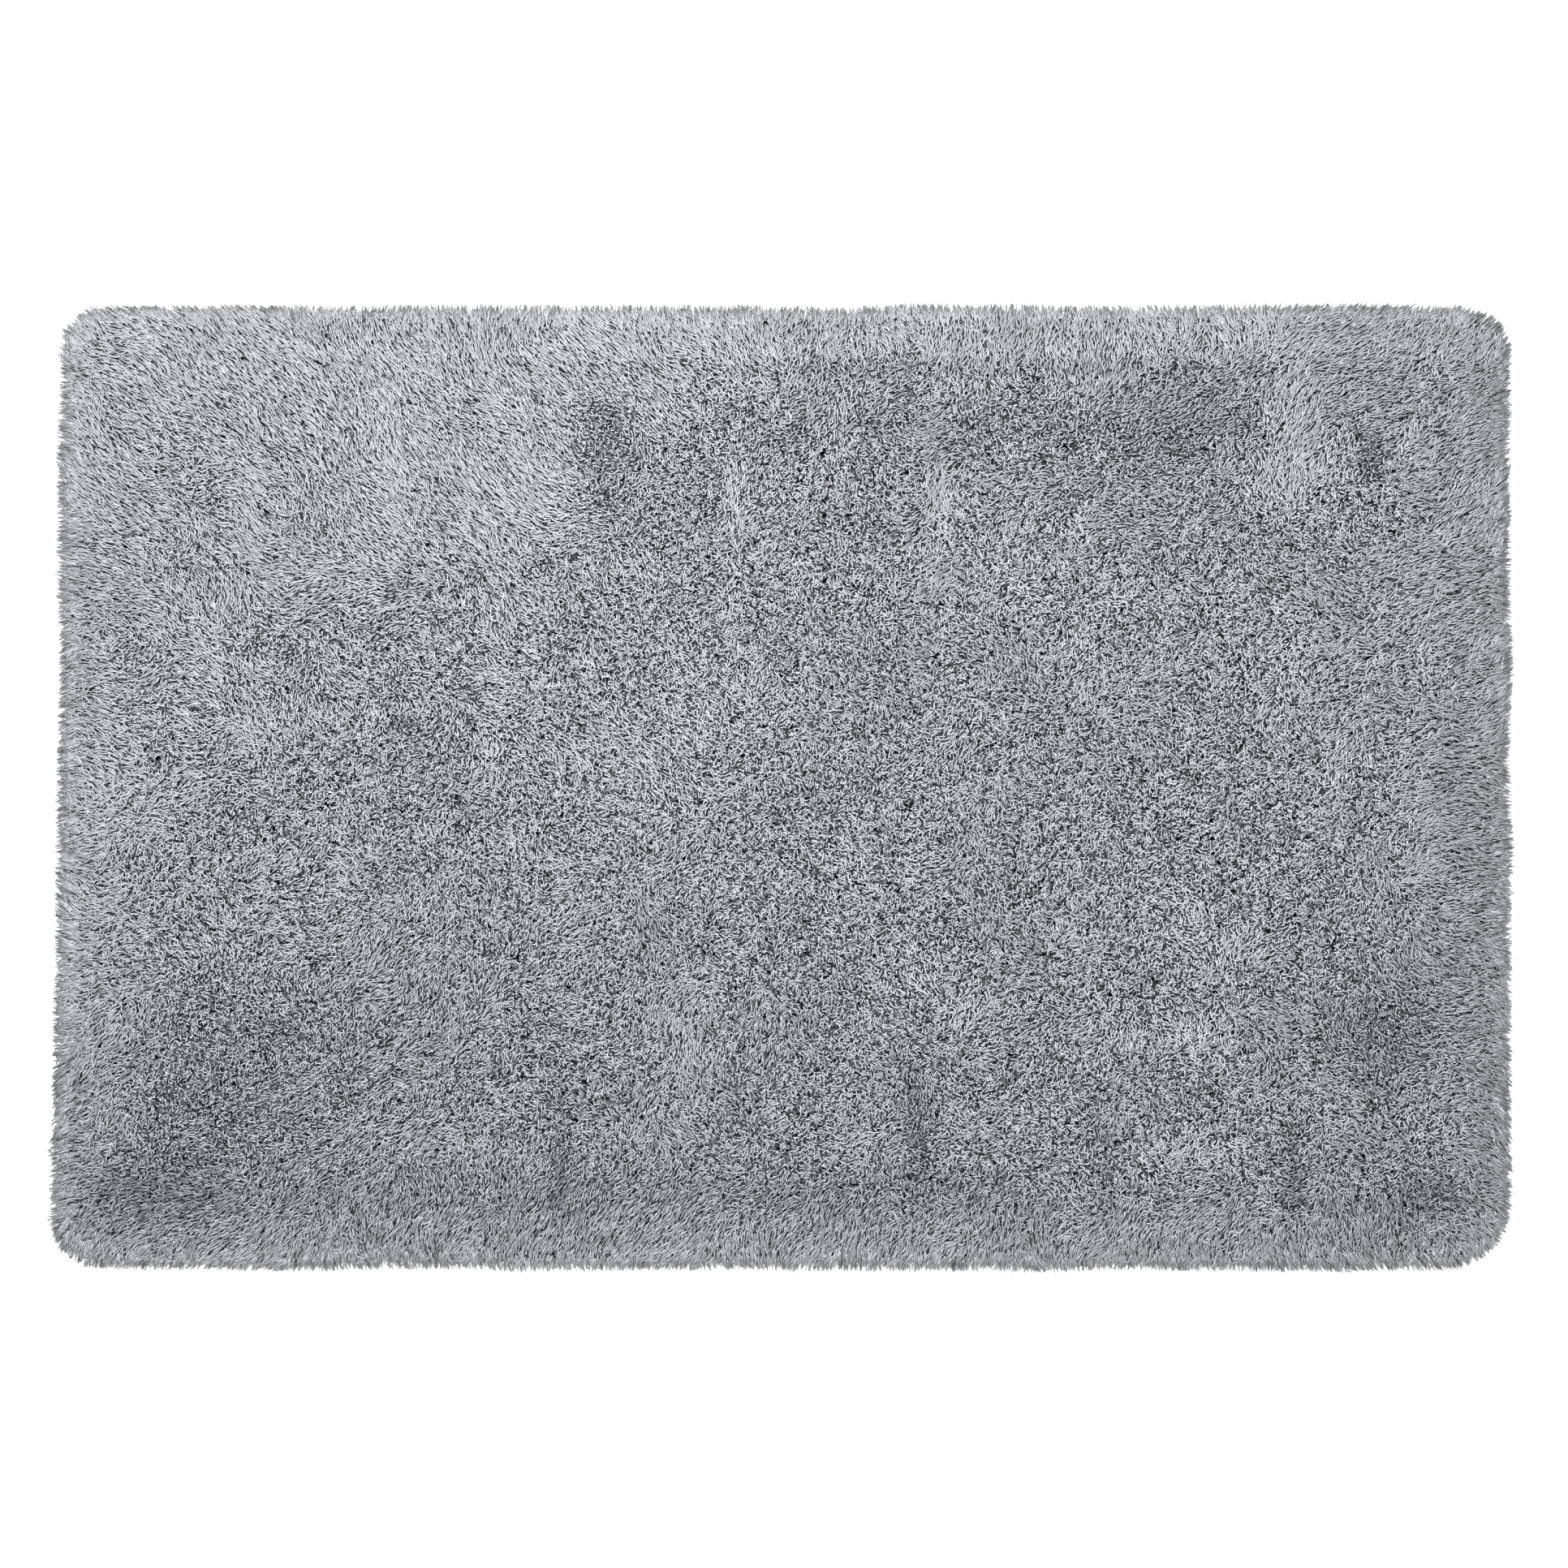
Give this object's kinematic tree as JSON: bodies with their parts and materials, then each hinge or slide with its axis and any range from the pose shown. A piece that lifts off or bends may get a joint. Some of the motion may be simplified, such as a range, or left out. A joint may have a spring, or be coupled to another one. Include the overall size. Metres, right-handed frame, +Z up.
{
  "type": "shag rug",
  "caption": "Rectangular long-pile shag rug with rounded corners, a lumpy pile top and yarn locks that lean out to the floor all round its rim.",
  "frame": {"origin": "middle of the flat underside, where the rug lies on the floor", "axes": "+X along the long sides, +Y along the short sides, +Z up out of the pile"},
  "size_m": [1.8115, 1.198, 0.0521],
  "materials": {
    "grey_pile_yarn": "soft long yarn pile with a slight sheen"
  },
  "bodies": {
    "root": {"shag_rug": "grey_pile_yarn"}
  },
  "joints": []
}
